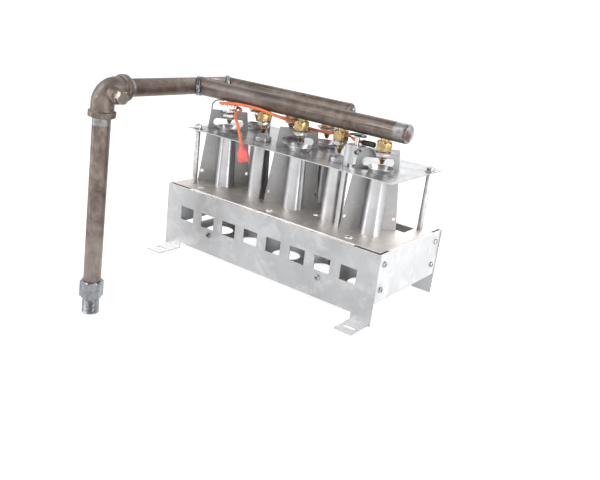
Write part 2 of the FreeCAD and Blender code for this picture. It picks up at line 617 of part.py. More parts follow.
def drop_leg():
    """Banded elbow with a plugged boss, the drop pipe, and the inlet adapter at its foot."""
    arm = "elbow_arm - elbow_bend"
    boss_at = ("elbow_bend * (1 - cos(45))", "-elbow_bend * (1 - cos(45))")
    body = fuse("elbow_body", [
        bend("elbow_quarter", "elbow_radius"),
        cylinder("elbow_side", "elbow_radius", arm, ("0", "elbow_bend", "0"), ALONG_Y),
        cylinder("elbow_foot", "elbow_radius", arm, ("0", "0", "-elbow_arm")),
        cylinder("elbow_side_band", "band_radius", "band_width",
                 ("0", "elbow_arm - band_width", "0"), ALONG_Y),
        cylinder("elbow_foot_band", "band_radius", "band_width", ("0", "0", "-elbow_arm")),
        cylinder("elbow_boss", "plug_boss", "boss_reach", ("0", *boss_at), DOWN_X),
    ])
    lean(cut("elbow_casting", body, [
        bend("elbow_bore", "pipe_inner"),
        cylinder("elbow_side_bore", "pipe_inner", arm, ("0", "elbow_bend", "0"), ALONG_Y),
        cylinder("elbow_foot_bore", "pipe_inner", arm, ("0", "0", "-elbow_arm")),
        cylinder("elbow_side_socket", "pipe_outer", "engagement",
                 ("0", "elbow_arm - engagement", "0"), ALONG_Y),
        cylinder("elbow_foot_socket", "pipe_outer", "engagement", ("0", "0", "-elbow_arm")),
        cylinder("elbow_plug_bore", "6", "boss_reach", ("0", *boss_at), DOWN_X),
    ]), "elbow")
    lean(fuse("plug", [
        hexagon("plug_hex", "plug_flats", "plug_reach - boss_reach", ("boss_reach", *boss_at),
                DOWN_X),
        cylinder("plug_shank", "6", "11", ("boss_reach - 11", *boss_at), DOWN_X),
    ]), "elbow_plug")
    pipe_top = "(elbow_arm - engagement)"
    pipe_foot = f"({pipe_top} + drop_length)"
    lean(cut("drop", cylinder("drop_bar", "pipe_outer", "drop_length",
                              ("0", "0", f"-{pipe_foot}")),
             [cylinder("drop_bore", "pipe_inner", "drop_length + 2",
                       ("0", "0", f"-{pipe_foot} - 1"))]), "drop_pipe")
    hex_foot = f"({pipe_foot} - engagement + adapter_hex)"
    lean(cut("adapter", fuse("adapter_body", [
        hexagon("adapter_hexagon", "adapter_flats", "adapter_hex", ("0", "0", f"-{hex_foot}")),
        cylinder("adapter_male", "adapter_thread", "adapter_length",
                 ("0", "0", f"-{hex_foot} - adapter_length")),
    ]), [
        cylinder("adapter_socket", "pipe_outer", "engagement + 1", ("0", "0", f"-{pipe_foot}")),
        cylinder("adapter_through", "adapter_bore", "adapter_hex + adapter_length + 2",
                 ("0", "0", f"-{hex_foot} - adapter_length - 1")),
    ]), "inlet_adapter")


# --- stand-off rods and screws ------------------------------------------------------------------

RODS = (("left", "rod_left_x", "rod_left_y"), ("right", "rod_right_x", "rod_right_y"))


def standoffs():
    """Pillars from the deck to the mixing plate, with threaded ends, two nuts and a washer each."""
    rods, nuts = [], []
    for name, x, y in RODS:
        low = "box_top - rod_nut_height - 2"
        rods.append(fuse(f"rod_{name}", [
            cylinder(f"rod_bar_{name}", "rod", f"rod_top - 2.5 - ({low})", (x, y, low)),
            cylinder(f"rod_pillar_{name}", "pillar", f"mixing_under - {DECK_TOP}",
                     (x, y, DECK_TOP)),
            cone(f"rod_point_{name}", "rod", "rod - 2", "2.5", (x, y, "rod_top - 2.5"))]))
        levels = {"deck": "box_top - rod_nut_height",
                  "over": "mixing_under + gauge + washer_height"}
        for level, z in levels.items():
            tag = f"{name}_{level}"
            nuts.append(cut(f"rod_nut_{tag}", hexagon(f"rod_nut_hex_{tag}", "rod_nut_flats",
                                                      "rod_nut_height", (x, y, z)),
                            [cylinder(f"rod_nut_bore_{tag}", "rod", "rod_nut_height + 2",
                                      (x, y, f"{z} - 1"))]))
        washer_z = "mixing_under + gauge"
        nuts.append(cut(f"washer_{name}", cylinder(f"washer_disc_{name}", "washer",
                                                   "washer_height", (x, y, washer_z)),
                        [cylinder(f"washer_bore_{name}", "rod", "washer_height + 2",
                                  (x, y, f"{washer_z} - 1"))]))
    subpart(group("rods", rods), "standoff_rods")
    subpart(group("rod_nuts", nuts), "standoff_nuts")


def screw(name, seat, inward):
    """Pan-head screw whose head sits on a face; the rotation turns +Z to the way it is driven."""
    head = cone(f"{name}_head", "screw_head - 1", "screw_head", "screw_head_height", ("0", "0",
                "-screw_head_height"))
    shank = cylinder(f"{name}_shank", "screw_shank", "screw_length", ("0", "0", "0"))
    return place(fuse(name, [head, shank]), *seat, rotation=inward)


def box_screws():
    """Screws of the burner plate's flanges and of the two end panels."""
    long_screws, end_screws = [], []
    for side, sign, inward in (("front", "-", ALONG_Y), ("rear", "", ALONG_Y.inverted())):
        for end, end_sign in (("left", "-"), ("right", "")):
            seat = (f"{end_sign}front_screw_x", f"{sign}box_depth / 2", "front_screw_z")
            long_screws.append(screw(f"long_screw_{side}_{end}", seat, inward))
            for level in ("low", "high"):
                seat = (f"{end_sign}(box_length / 2 - end_inset)",
                        f"{sign}(box_depth / 2 - end_screw_inset)", f"end_screw_{level}")
                driven = DOWN_X if end_sign else DOWN_X.inverted()
                end_screws.append(screw(f"end_screw_{side}_{end}_{level}", seat, driven))
    subpart(group("long_screws", long_screws), "panel_screws")
    subpart(group("side_screws", end_screws), "end_panel_screws")


# --- pilot and ignition lead --------------------------------------------------------------------

def pilot():
    """Channel and shelf, gas tube with its collar plate, pilot burner, electrode and screws."""
    left = "pilot_x - channel_width / 2"
    front = "pilot_y - channel_depth / 2"
    shelf_span = f"pilot_shelf_right - ({left})"
    sheets = fuse("pilot_sheet", [
        box("channel_bar", (left, front, DECK_TOP),
            ("channel_width", "channel_depth", f"pilot_shelf - {DECK_TOP}")),
        box("pilot_shelf_plate", (left, front, "pilot_shelf"),
            (shelf_span, f"pilot_shelf_rear - ({front})", "1")),
        box("pilot_tab", (left, front, "pilot_tab_low"),
            (shelf_span, "1", "pilot_shelf - pilot_tab_low")),
        box("pilot_tongue", (left, front, "pilot_tongue_low"),
            (f"pilot_tongue_right - ({left})", "1", "pilot_tab_low - pilot_tongue_low")),
    ])
    subpart(cut("pilot_channel", sheets, [
        box("channel_hollow", (f"{left} + channel_gauge", f"{front} + channel_gauge",
                               f"{DECK_TOP} - 1"),
            ("channel_width - 2 * channel_gauge", "channel_depth",
             f"pilot_shelf - {DECK_TOP} + 1")),
        cylinder("shelf_electrode_hole", "ceramic", "4",
                 ("electrode_x", "electrode_y", "pilot_shelf - 1")),
        cylinder("tab_screw_hole", "screw_shank", "4", ("tab_screw_x", f"{front} - 1",
                                                       "tab_screw_z"), ALONG_Y),
    ]), "pilot_bracket")
    subpart(cylinder("pilot_gas_tube", "pilot_tube", "pilot_shelf - pilot_low",
                     ("pilot_x", "pilot_y", "pilot_low")), "pilot_tube")
    subpart(fuse("pilot_collar", [
        cylinder("collar_neck_bar", "collar_neck", "collar_under - pilot_shelf - 1",
                 ("collar_x", "collar_y", "pilot_shelf + 1")),
        cone("collar_plate", "collar_radius", "collar_radius - 1.5", "3.5",
             ("collar_x", "collar_y", "collar_under"))]), "pilot_collar")
    burner_at = ("pilot_x", "pilot_y")
    subpart(cut("pilot_head", cylinder("pilot_head_bar", "pilot_burner",
                                       "pilot_low - pilot_burner_low",
                                       (*burner_at, "pilot_burner_low")),
                [cylinder("pilot_head_bore", "pilot_burner - 1.5",
                          "pilot_low - pilot_burner_low - 3",
                          (*burner_at, "pilot_burner_low - 1"))]), "pilot_burner")
    electrode_at = ("electrode_x", "electrode_y")
    subpart(fuse("electrode", [
        cylinder("electrode_ceramic", "ceramic", "sleeve_z - 3 - pilot_low",
                 (*electrode_at, "pilot_low")),
        cylinder("electrode_wire", "electrode_pin", "sleeve_z + 2 - electrode_low",
                 (*electrode_at, "electrode_low"))]), "spark_electrode")
    subpart(cut("sleeve_moulding", cylinder("sleeve_bar", "sleeve", "sleeve_length",
                                            ("sleeve_left", "sleeve_y", "sleeve_z"), DOWN_X),
                [cylinder("sleeve_socket", "ceramic", "8",
                          (*electrode_at, "sleeve_z - 11")),
                 cylinder("sleeve_pin_hole", "electrode_pin", "6",
                          (*electrode_at, "sleeve_z - 4"))]), "electrode_sleeve")
    subpart(group("pilot_fasteners", [
        screw("pilot_screw_plate", ("pilot_screw_x", "pilot_screw_y", "mixing_under + gauge"),
              Rotation(Vector(1, 0, 0), 180)),
        screw("pilot_screw_tab", ("tab_screw_x", front, "tab_screw_z"), ALONG_Y)]),
        "pilot_screws")


LEAD_ROUTE = [Vector(*point) for point in (
    (106, -25.5, 227.9), (92, -25.5, 227.9), (82, -14, 230), (65, -6.5, 232), (43, -6, 231),
    (20, -5, 232), (0, -6.5, 231), (-17, -12.5, 232), (-32, -25, 233.5), (-47, -35.5, 237.5),
    (-64, -38, 241), (-86, -37.5, 241.5), (-107, -38.5, 241.5), (-123, -39.5, 240.5),
    (-138, -41.3, 238.5), (-153, -37.5, 236), (-158.8, -24, 233.5), (-152.5, -11.5, 231.5),
    (-140, -7, 230), (-128, -11.5, 228.5), (-122, -24, 227), (-118.5, -37, 225.5),
    (-111, -46.5, 222), (-100, -53.5, 217.5), (-90.5, -60.5, 212), (-82, -67, 206),
    (-75.5, -71.5, 199), (-71, -73, 190.5))]
GROUND_ROUTE = [Vector(*point) for point in (
    (-172.9, -31.7, 222.3), (-172.9, -31.7, 231), (-166, -32.5, 237.5), (-157, -33.2, 240),
    (-148, -32.8, 240.7))]


def rounded_route(points):
    """Straight runs joined by tangent arcs; each arc takes 0.45 of its shorter run."""
    edges, radii, start = [], [], points[0]
    for before, corner, after in zip(points, points[1:], points[2:]):
        incoming = (corner - before).normalize()
        outgoing = (after - corner).normalize()
        half_turn = incoming.getAngle(outgoing) / 2
        setback = 0.45 * min(before.distanceToPoint(corner), corner.distanceToPoint(after))
        radius = setback / math.tan(half_turn)
        inward = (outgoing - incoming).normalize()
        middle = corner + inward * (radius / math.cos(half_turn) - radius)
        arc_start = corner - incoming * setback
        arc_end = corner + outgoing * setback
        edges.append(Part.makeLine(start, arc_start))
        edges.append(Part.Arc(arc_start, middle, arc_end).toShape())
        radii.append(radius)
        start = arc_end
    edges.append(Part.makeLine(start, points[-1]))
    return Part.Wire(edges), radii


def tube_along(name, points, radius, label):
    """Solid tube along a rounded route. Its volume is compared with section times length."""
    path, radii = rounded_route(points)
    section = Part.Wire(Part.makeCircle(radius, points[0], points[1] - points[0]))
    tube = doc.addObject("Part::Feature", name)
    tube.Shape = path.makePipeShell([section], True, False)
    tube.Placement = FreeCAD.Placement()
    expected = math.pi * radius ** 2 * path.Length
    print(f"{label}: length {path.Length:.1f}, volume / expected "
          f"{tube.Shape.Volume / expected:.4f}, radii", [round(radius, 1) for radius in radii])
    return subpart(tube, label)


def ignition_lead():
    """Lead from the electrode's sleeve to its loose boot, and the thin earth wire."""
    tube_along("lead_tube", LEAD_ROUTE, SIZE["lead"], "ignition_lead")
    tube_along("earth_tube", GROUND_ROUTE, SIZE["ground_wire"], "earth_wire")
    heading = (LEAD_ROUTE[-1] - LEAD_ROUTE[-2]).normalize()
    outline = [("0", "0"), ("boot_neck", "0"), ("boot_neck + 0.8", "7"), ("boot - 0.8", "10"),
               ("boot", "12"), ("boot", "boot_length - 1.5"), ("boot - 1.5", "boot_length"),
               ("0", "boot_length")]
    seat = [str(round(value, 3)) for value in LEAD_ROUTE[-1]]
    subpart(turned("boot_moulding", outline, seat, Rotation(Vector(0, 0, 1), heading)),
            "lead_boot")


# --- assembly -----------------------------------------------------------------------------------

subpart(long_panel("front"), "front_panel")
subpart(long_panel("rear"), "rear_panel").Placement = FreeCAD.Placement(
    Vector(), Rotation(Vector(0, 0, 1), 180))
subpart(end_panel("left_end", -1), "left_end_panel")
subpart(end_panel("right_end", 1), "right_end_panel")
subpart(deck_plate(), "deck_plate")
subpart(burner_plate(), "burner_plate")
subpart(mixing_plate(), "mixing_plate")
for jet in JETS:
    venturi_tube(*jet)
    orifice(*jet)
subpart(group("rings", [port_ring(*jet) for jet in JETS]), "port_rings")
held_jets = {bracket[0] for bracket in BRACKETS}
subpart(group("locknuts", [locknut(*jet, jet[0] in held_jets) for jet in JETS]),
        "orifice_locknuts")
for bracket in BRACKETS:
    orifice_bracket(*bracket)
manifold()
drop_leg()
standoffs()
box_screws()
pilot()
ignition_lead()
doc.recompute()

failed = [item.Name for item in doc.Objects if {"Invalid", "Error"} & set(item.State)]
failed += [item.Label for item in SUBPARTS if item.Shape.isNull() or not item.Shape.isValid()]
if failed:
    raise RuntimeError(f"failed objects: {failed}")
os.makedirs("parts", exist_ok=True)
for item in SUBPARTS:
    item.Shape.exportStep(f"parts/{item.Label}.step")
print(len(SUBPARTS), "sub-parts")
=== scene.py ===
import json
import math

import bmesh
import bpy
from mathutils import Matrix, Vector


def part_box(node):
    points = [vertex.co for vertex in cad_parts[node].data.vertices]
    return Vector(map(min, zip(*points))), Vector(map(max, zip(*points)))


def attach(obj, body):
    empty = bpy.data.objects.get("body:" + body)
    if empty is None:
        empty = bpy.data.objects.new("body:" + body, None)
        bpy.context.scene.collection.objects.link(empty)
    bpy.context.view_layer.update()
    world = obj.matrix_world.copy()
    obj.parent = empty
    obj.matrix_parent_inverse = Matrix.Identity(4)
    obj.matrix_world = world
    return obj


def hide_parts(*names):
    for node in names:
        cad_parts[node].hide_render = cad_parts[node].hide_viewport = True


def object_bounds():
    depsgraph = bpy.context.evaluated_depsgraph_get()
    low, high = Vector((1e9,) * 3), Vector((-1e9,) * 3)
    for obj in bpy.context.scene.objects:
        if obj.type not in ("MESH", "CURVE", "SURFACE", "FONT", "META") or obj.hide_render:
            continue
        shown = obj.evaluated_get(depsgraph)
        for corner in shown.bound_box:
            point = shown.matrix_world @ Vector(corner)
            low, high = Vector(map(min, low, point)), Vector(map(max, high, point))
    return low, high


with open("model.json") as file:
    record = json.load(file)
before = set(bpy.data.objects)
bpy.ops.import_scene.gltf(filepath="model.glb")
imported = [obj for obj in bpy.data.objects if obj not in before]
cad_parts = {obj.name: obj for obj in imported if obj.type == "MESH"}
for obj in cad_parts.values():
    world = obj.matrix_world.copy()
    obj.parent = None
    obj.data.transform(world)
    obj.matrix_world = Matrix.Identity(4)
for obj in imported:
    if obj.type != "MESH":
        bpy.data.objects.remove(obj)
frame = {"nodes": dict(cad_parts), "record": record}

CAD_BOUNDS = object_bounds()
MM = 0.001
NODES = frame["nodes"]

# ---------------------------------------------------------------- measures taken from the frame


def centre(node):
    low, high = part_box(node)
    return (low + high) / 2


def size(node):
    low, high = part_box(node)
    return high - low


# ---------------------------------------------------------------- node helpers

class Shader:
    """A material under construction: short calls that add nodes and link them."""

    def __init__(self, name):
        self.material = bpy.data.materials.new(name)
        self.material.use_nodes = True
        self.tree = self.material.node_tree
        self.surface = self.tree.nodes["Principled BSDF"]
        self.coordinates = self.tree.nodes.new("ShaderNodeTexCoord").outputs["Object"]

    def add(self, kind, inputs=None, **settings):
        node = self.tree.nodes.new(kind)
        for name, value in settings.items():
            setattr(node, name, value)
        for name, value in (inputs or {}).items():
            self.feed(node.inputs[name], value)
        return node

    def feed(self, socket, value):
        if isinstance(value, bpy.types.NodeSocket):
            self.tree.links.new(value, socket)
        else:
            socket.default_value = value

    def set(self, **values):
        for name, value in values.items():
            self.feed(self.surface.inputs[name.replace("_", " ")], value)

    def stretched(self, scale):
        """Object coordinates scaled per axis, so that a texture runs along one of them."""
        inputs = {"Vector": self.coordinates, "Scale": scale}
        return self.add("ShaderNodeMapping", inputs).outputs[0]

    def noise(self, scale, detail=4.0, roughness=0.6, vector=None, distortion=0.0):
        inputs = {"Vector": vector or self.coordinates, "Scale": scale, "Detail": detail,
                  "Roughness": roughness, "Distortion": distortion}
        return self.add("ShaderNodeTexNoise", inputs).outputs["Fac"]

    def ramp(self, value, stops):
        """Colour ramp from (position, colour or grey) stops."""
        ramp = self.add("ShaderNodeValToRGB", {"Fac": value})
        band = ramp.color_ramp
        while len(band.elements) < len(stops):
            band.elements.new(0.5)
        for element, (position, colour) in zip(band.elements, stops):
            element.position = position
            grey = isinstance(colour, (int, float))
            element.color = (colour, colour, colour, 1) if grey else (*colour, 1)
        return ramp.outputs["Color"]

    def mix(self, factor, first, second, blend="MIX"):
        node = self.add("ShaderNodeMix", data_type="RGBA", blend_type=blend)
        self.feed(node.inputs[0], factor)
        for socket, value in ((node.inputs[6], first), (node.inputs[7], second)):
            self.feed(socket, value if isinstance(value, bpy.types.NodeSocket) else (*value, 1))
        return node.outputs[2]

    def maths(self, operation, first, second=0.0):
        node = self.add("ShaderNodeMath", operation=operation)
        self.feed(node.inputs[0], first)
        self.feed(node.inputs[1], second)
        return node.outputs[0]

    def bump(self, height, distance, strength=1.0, normal=None):
        inputs = {"Height": height, "Distance": distance, "Strength": strength}
        if normal:
            inputs["Normal"] = normal
        return self.add("ShaderNodeBump", inputs).outputs[0]

    def place(self, axis):
        """The object coordinate along one axis, in metres."""
        return self.add("ShaderNodeSeparateXYZ", {"Vector": self.coordinates}).outputs[axis]

    def rounded(self, radius):
        """Normals that round the edges of a hard-cornered part."""
        return self.add("ShaderNodeBevel", {"Radius": radius}, samples=4).outputs[0]


def sheet_steel(name, grain, tone, shine=0.34, painted_level_light=None, warmth=0.0):
    """Mill-finish sheet: rolling grain along one axis, smudges, dark specks and soft waves.
    painted_level_light is a second brightness, for level faces such as lips and feet: a painted
    highlight that stands in for the light falling on them."""
    s = Shader(name)
    streaks = s.noise(60, 5, 0.65, s.stretched(grain))
    smudge = s.noise(14, 5, 0.6)
    blotch = s.noise(38, 6, 0.7, distortion=0.6)
    tint = (tone * (0.99 + warmth), tone, tone * (1.02 - warmth))
    dark = tuple(c * 0.78 for c in tint)
    colour = s.mix(s.ramp(smudge, [(0.35, 0.0), (0.7, 1.0)]), tint, dark)
    colour = s.mix(s.ramp(blotch, [(0.5, 0.0), (0.62, 0.6)]), colour,
                   tuple(min(1, c * 1.16) for c in tint))
    colour = s.mix(s.ramp(s.noise(210, 4, 0.75), [(0.66, 0.0), (0.74, 0.5)]), colour, dark)
    # Painted highlight: level faces take the lighter painted_level_light colour, in place of the
    # light that falls on them.
    if painted_level_light:
        level = s.maths("ABSOLUTE", s.add("ShaderNodeSeparateXYZ", {
            "Vector": s.add("ShaderNodeNewGeometry").outputs["Normal"]}).outputs["Z"])
        colour = s.mix(level, colour, s.mix(streaks, (painted_level_light,) * 3, (painted_level_light * 0.9,) * 3))
    rough = s.ramp(blotch, [(0.3, shine - 0.07), (0.7, shine + 0.13)])
    rough = s.mix(0.35, rough, s.ramp(streaks, [(0.3, shine - 0.1), (0.7, shine + 0.14)]))
    waves = s.bump(s.noise(9, 2, 0.4), 1.6 * MM, 0.3, s.rounded(0.8 * MM))
    s.set(Base_Color=colour, Metallic=1.0, Roughness=rough,
          Normal=s.bump(streaks, 0.05 * MM, 0.5, waves))
    return s.material


def tube_steel(name="tube_steel", band_scale=50, contrast=0.3, shine=0.3):
    """Bright steel, turned: fine grooves round the tube draw the lights out along it. Darker
    bands painted along it stand in for dark surroundings reflected in the tube, and a larger
    band_scale makes them narrower."""
    s = Shader(name)
    grooves = s.noise(240, 3, 0.6, s.stretched((0.05, 0.05, 1)))
    painted_reflection_bands = s.noise(band_scale, 3, 0.55, s.stretched((1, 1, 0.02)))
    film = s.noise(30, 5, 0.65)
    colour = s.mix(s.ramp(film, [(0.4, 0.0), (0.7, 1.0)]), (0.62, 0.62, 0.635), (0.48, 0.48, 0.485))
    # Painted reflection: darker bands along the tube stand in for dark surroundings mirrored in the
    # steel.
    colour = s.mix(s.ramp(painted_reflection_bands, [(0.4, contrast), (0.58, 0.0)]), colour, (0.26, 0.255, 0.26))
    rough = s.mix(0.5, s.ramp(film, [(0.35, shine - 0.03), (0.7, shine + 0.09)]),
                  s.ramp(painted_reflection_bands, [(0.35, shine - 0.04), (0.65, shine + 0.06)]))
    round_the_tube = s.add("ShaderNodeTangent", direction_type="RADIAL", axis="Z").outputs[0]
    s.set(Base_Color=colour, Metallic=1.0, Roughness=rough, Anisotropic=0.5,
          Anisotropic_Rotation=0.25, Tangent=round_the_tube,
          Normal=s.bump(grooves, 0.03 * MM, 0.4, s.rounded(0.3 * MM)))
    return s.material


def pipe_scale(name, along, edge=0.6 * MM, bare=None, tone=1.0):
    """Brown-black mill scale on steel pipe: mottled, rubbed bright in streaks along the pipe.
    bare is (axis, start, end): the scale ends between the two and leaves bare grey steel."""
    s = Shader(name)
    mottle = s.noise(45, 8, 0.72, distortion=0.5)
    patches = s.noise(12, 4, 0.6)
    scratch = s.noise(170, 5, 0.7, s.stretched(along))
    nick = s.noise(75, 3, 0.5, s.stretched(tuple((a + 0.12) / 1.12 for a in along)))
    shades = [(0.32, (0.075, 0.052, 0.042)), (0.5, (0.165, 0.128, 0.108)),
              (0.7, (0.29, 0.24, 0.21))]
    # tone lightens or darkens the whole scale per piece of the same pipe steel: painted light and
    # shade.
    colour = s.ramp(mottle, [(at, tuple(tone * c for c in shade)) for at, shade in shades])
    colour = s.mix(s.ramp(patches, [(0.48, 0.0), (0.7, 0.6)]), colour,
                   tuple(tone * c for c in (0.29, 0.255, 0.235)))
    grime = s.noise(26, 5, 0.65, s.stretched(tuple((a + 0.4) / 1.4 for a in along)))
    colour = s.mix(s.ramp(grime, [(0.54, 0.0), (0.66, 0.7)]), colour,
                   tuple(tone * c for c in (0.08, 0.055, 0.048)))
    rubbed = s.ramp(scratch, [(0.6, 0.0), (0.72, 0.6)])
    colour = s.mix(rubbed, colour, (0.46, 0.43, 0.4))
    colour = s.mix(s.ramp(nick, [(0.68, 0.0), (0.72, 0.85)]), colour, (0.75, 0.72, 0.69))
    metallic = s.ramp(mottle, [(0.3, 0.55), (0.7, 0.9)])
    rough = s.mix(rubbed, s.ramp(mottle, [(0.3, 0.36), (0.7, 0.5)]), (0.28, 0.28, 0.28))
    if bare:
        axis, start, end = bare
        wander = 4 * MM
        ragged = s.maths("ADD", s.place(axis), s.maths("MULTIPLY", s.noise(60, 3), wander))
        steel = s.add("ShaderNodeMapRange", {"Value": ragged, "From Min": start + wander / 2,
                                             "From Max": end + wander / 2}).outputs[0]
        grey = s.ramp(s.noise(120, 4, 0.6), [(0.35, 0.2), (0.7, 0.36)])
        colour = s.mix(steel, colour, grey)
        metallic = s.mix(steel, metallic, (1.0, 1.0, 1.0))
    s.set(Base_Color=colour, Metallic=metallic, Roughness=rough,
          Normal=s.bump(mottle, 0.15 * MM, 0.5, s.rounded(edge)))
    return s.material


def weld_metal():
    """Ground and heat-tinted weld."""
    s = Shader("weld_metal")
    tint = s.noise(70, 5, 0.6)
    s.set(Base_Color=s.ramp(tint, [(0.38, (0.13, 0.1, 0.09)), (0.52, (0.35, 0.35, 0.36)),
                                   (0.7, (0.58, 0.58, 0.6))]),
          Metallic=1.0, Roughness=s.ramp(tint, [(0.3, 0.42), (0.7, 0.26)]),
          Normal=s.bump(tint, 0.3 * MM, 0.5))
    return s.material


def turned_metal(name, light, dark, shine):
    """Turned or plated small hardware."""
    s = Shader(name)
    rings = s.noise(260, 3, 0.6, s.stretched((0.1, 0.1, 1)))
    film = s.noise(90, 4, 0.6)
    stain = s.noise(260, 5, 0.7)
    colour = s.mix(s.ramp(film, [(0.38, 0.0), (0.68, 1.0)]), light, dark)
    colour = s.mix(s.ramp(stain, [(0.56, 0.0), (0.68, 0.6)]), colour,
                   tuple(c * 0.4 for c in dark))
    s.set(Base_Color=colour, Metallic=1.0,
          Roughness=s.ramp(film, [(0.3, shine - 0.06), (0.7, shine + 0.12)]),
          Normal=s.bump(rings, 0.04 * MM, 0.5, s.rounded(0.35 * MM)))
    return s.material


def moulded(name, light, dark, rough, coat=0.0):
    """Rubber, silicone or glaze: slight colour drift and a fine moulded grain."""
    s = Shader(name)
    drift = s.noise(80, 4, 0.6)
    grain = s.noise(900, 3, 0.6)
    s.set(Base_Color=s.mix(s.ramp(drift, [(0.35, 0.0), (0.7, 1.0)]), light, dark),
          Roughness=s.ramp(drift, [(0.3, rough - 0.06), (0.7, rough + 0.08)]), Coat_Weight=coat,
          Normal=s.bump(grain, 0.03 * MM, 0.5, s.rounded(0.3 * MM)))
    return s.material


def dress(node, material):
    """Give a CAD node a material."""
    slots = NODES[node].data.materials
    if not slots:
        slots.append(material)
    for index in range(len(slots)):
        slots[index] = material


# These six copies of one sheet steel differ in tone and warmth per part, so that each shows the
# brightness and cast that light and reflections give it: painted light and shade.
PANEL = sheet_steel("panel_sheet", (0.04, 1, 1), 0.5, painted_level_light=1.0)
END = sheet_steel("end_sheet", (1, 0.04, 1), 0.76, painted_level_light=0.9)
TRAY = sheet_steel("tray_sheet", (0.04, 1, 1), 0.6)
MIXING = sheet_steel("mixing_sheet", (0.04, 1, 1), 0.56, shine=0.28)
DECK = sheet_steel("deck_sheet", (0.04, 1, 1), 0.8, shine=0.46, warmth=0.07)
UPRIGHT = sheet_steel("bracket_sheet", (1, 1, 0.04), 0.36, shine=0.36, warmth=0.02)
TUBE = tube_steel()
ARM_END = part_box("front_arm_pipe")[1].x
# The straight pipes are one steel, but each piece gets its own tone to match the light on it: lit
# and shaded copies, painted light and shade.
PIPE_X = pipe_scale("pipe_along_x", (0.02, 1, 1), tone=0.85)
ARM = pipe_scale("front_arm", (0.02, 1, 1), tone=0.82,
                 bare=("X", ARM_END - 17 * MM, ARM_END - 13 * MM))
ELBOW_LOW, ELBOW_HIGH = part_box("elbow")
PIPE_Y = pipe_scale("pipe_along_y", (1, 0.02, 1),
                    bare=("Y", ELBOW_HIGH.y + 10 * MM, ELBOW_HIGH.y + 7 * MM))
PIPE_Z = pipe_scale("pipe_along_z", (1, 1, 0.02), tone=1.08,
                    bare=("Z", ELBOW_LOW.z - 12 * MM, ELBOW_LOW.z - 9 * MM))
CAST = pipe_scale("cast_elbow", (0.5, 0.5, 0.5), edge=1.2 * MM, tone=0.9)
WELD = weld_metal()
BRASS = turned_metal("brass", (0.52, 0.385, 0.2), (0.28, 0.185, 0.085), 0.24)
PLUG = turned_metal("plug_steel", (0.42, 0.385, 0.33), (0.26, 0.23, 0.19), 0.3)
GREY_BRASS = turned_metal("grey_orifice", (0.62, 0.6, 0.56), (0.45, 0.42, 0.37), 0.26)
ZINC = turned_metal("zinc", (0.56, 0.57, 0.585), (0.38, 0.39, 0.405), 0.25)
SCREW = turned_metal("screw_chrome", (0.6, 0.61, 0.63), (0.1, 0.1, 0.105), 0.12)
ADAPTER = turned_metal("adapter_steel", (0.31, 0.32, 0.34), (0.2, 0.21, 0.225), 0.26)
BRIGHT = turned_metal("bright_pilot", (0.72, 0.73, 0.74), (0.4, 0.41, 0.43), 0.16)
PILLAR = turned_metal("pillar_steel", (0.7, 0.7, 0.71), (0.5, 0.5, 0.51), 0.3)
# The channel's strong, narrow dark bands are painted reflections.
CHANNEL = tube_steel("channel_steel", band_scale=170, contrast=0.8, shine=0.2)
CERAMIC = moulded("ceramic", (0.86, 0.84, 0.79), (0.8, 0.77, 0.7), 0.2, coat=0.4)
BLACK = moulded("black_rubber", (0.02, 0.02, 0.02), (0.035, 0.033, 0.03), 0.45)
ORANGE = moulded("orange_silicone", (0.84, 0.2, 0.06), (0.74, 0.15, 0.045), 0.4)
RED = moulded("red_rubber", (0.76, 0.15, 0.12), (0.64, 0.1, 0.08), 0.38)
DARK = moulded("dark_wire", (0.05, 0.045, 0.04), (0.08, 0.07, 0.06), 0.45)

SLOT_MATERIAL = {
    "sheet_steel": UPRIGHT, "tube_steel": TUBE, "pipe": PIPE_X, "weld": WELD, "brass": BRASS,
    "orifice_steel": GREY_BRASS, "zinc": ZINC, "pilot_steel": BRIGHT, "ceramic": CERAMIC,
    "black_rubber": BLACK, "orange_silicone": ORANGE, "red_rubber": RED, "dark_wire": DARK,
}
SLOT = {entry["node"]: entry["material_slot"] for entry in frame["record"]["subparts"]}
for node, slot_name in SLOT.items():
    dress(node, SLOT_MATERIAL[slot_name])
for node in ("front_panel", "rear_panel"):
    dress(node, PANEL)
for node in ("left_end_panel", "right_end_panel"):
    dress(node, END)
dress("burner_plate", TRAY)
dress("deck_plate", DECK)
dress("mixing_plate", MIXING)
dress("front_arm_pipe", ARM)
dress("pilot_bracket", CHANNEL)
dress("feed_pipe", PIPE_Y)
dress("drop_pipe", PIPE_Z)

# ---------------------------------------------------------------- building detailed pieces


def revolve(profile, shape=None, segments=72, closed=False):
    """Vertices and faces of (radius, height) points in millimetres, turned about Z. shape may
    change a radius by its height and angle. An open profile gets flat ends."""
    vertices = []
    for radius, height in profile:
        for step in range(segments):
            angle = math.tau * step / segments
            reach = shape(radius, height, angle) if shape else radius
            vertices.append((reach * math.cos(angle), reach * math.sin(angle), height))
    count = len(profile)
    faces = []
    for low in range(count if closed else count - 1):
        high = (low + 1) % count
        for step in range(segments):
            after = (step + 1) % segments
            faces.append((low * segments + step, low * segments + after,
                          high * segments + after, high * segments + step))
    if not closed:
        faces.append(tuple(reversed(range(segments))))
        faces.append(tuple(range((count - 1) * segments, count * segments)))
    return vertices, faces


def hexagonal(flats):
    """Shape that trims a turned bar to a hexagon, so that its ends keep round chamfers."""
    def trim(radius, height, angle):
        return min(radius, flats / 2 / math.cos(angle % (math.pi / 3) - math.pi / 6))
    return trim


